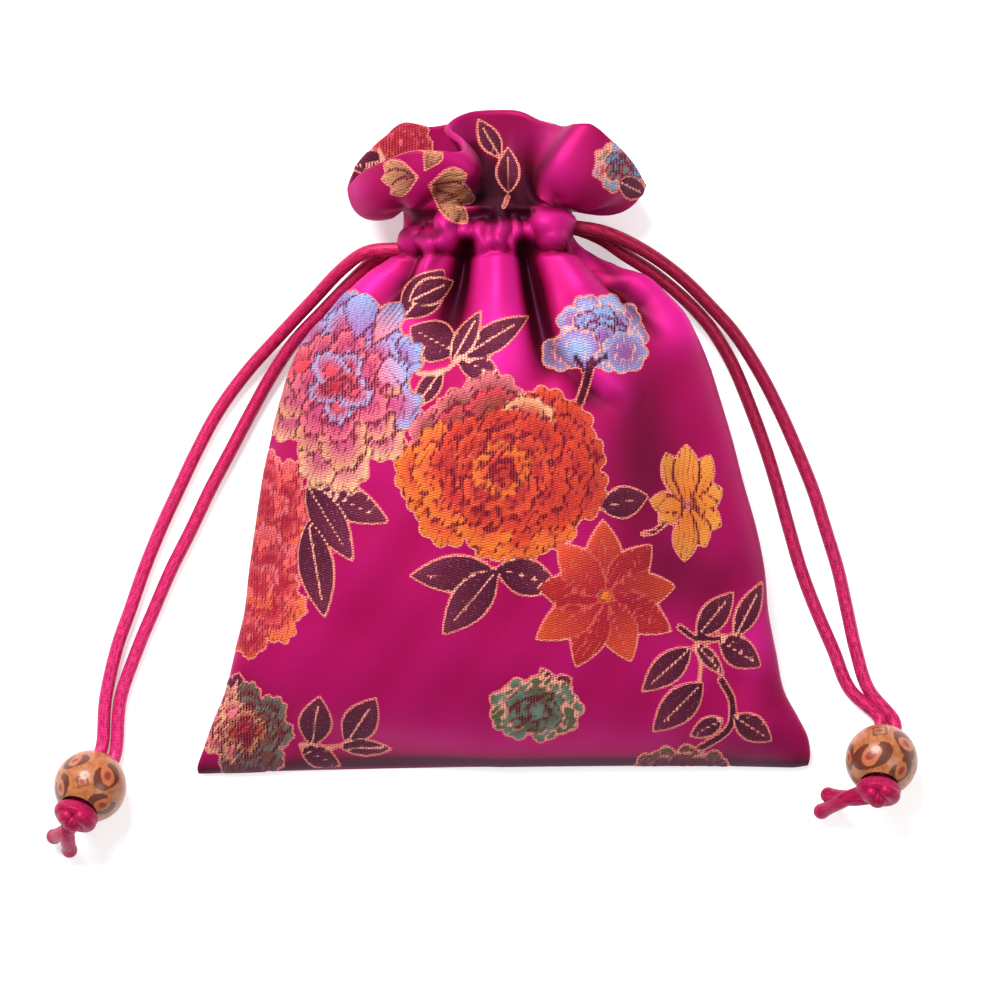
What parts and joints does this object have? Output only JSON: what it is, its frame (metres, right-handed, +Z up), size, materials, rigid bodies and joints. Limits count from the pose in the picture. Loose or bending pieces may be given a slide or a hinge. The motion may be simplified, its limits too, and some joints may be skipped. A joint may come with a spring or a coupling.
{
  "type": "kinchaku drawstring pouch",
  "caption": "Small satin brocade drawstring pouch drawn shut and lying on its back, with a flared ruffle, paired cords ending in painted wooden beads, and cut knots.",
  "frame": {"origin": "middle of the pouch cloth's footprint on the surface it lies on, cords and beads left out", "axes": "+Z up out of the front panel, +Y from the closed bottom to the mouth, +X to the right seen from the front"},
  "size_m": [0.1568, 0.1343, 0.0244],
  "materials": {
    "pouch_cloth": "satin jacquard brocade, magenta ground with woven peonies and leaves",
    "left_cord": "satin rattail cord",
    "right_cord": "satin rattail cord",
    "left_bead": "varnished light wood with painted brown rings",
    "right_bead": "varnished light wood with painted brown rings",
    "left_knot": "satin rattail cord, knotted, cut ends melted",
    "right_knot": "satin rattail cord, knotted, cut ends melted"
  },
  "bodies": {
    "pouch": {"pouch_cloth": "pouch_cloth", "left_cord": "left_cord", "right_cord": "right_cord", "left_knot": "left_knot", "right_knot": "right_knot"},
    "left_bead_body": {"left_bead": "left_bead"},
    "right_bead_body": {"right_bead": "right_bead"}
  },
  "joints": [
    {"name": "left_bead_turn", "type": "hinge", "parent": "pouch", "child": "left_bead_body", "pos_m": [-0.0743, -0.06166, 0.00655], "axis": [-0.2963, -0.6815, 0.6691], "continuous": true},
    {"name": "right_bead_turn", "type": "hinge", "parent": "pouch", "child": "right_bead_body", "pos_m": [0.068, -0.05696, 0.00655], "axis": [-0.1486, -0.7281, 0.6691], "continuous": true}
  ]
}
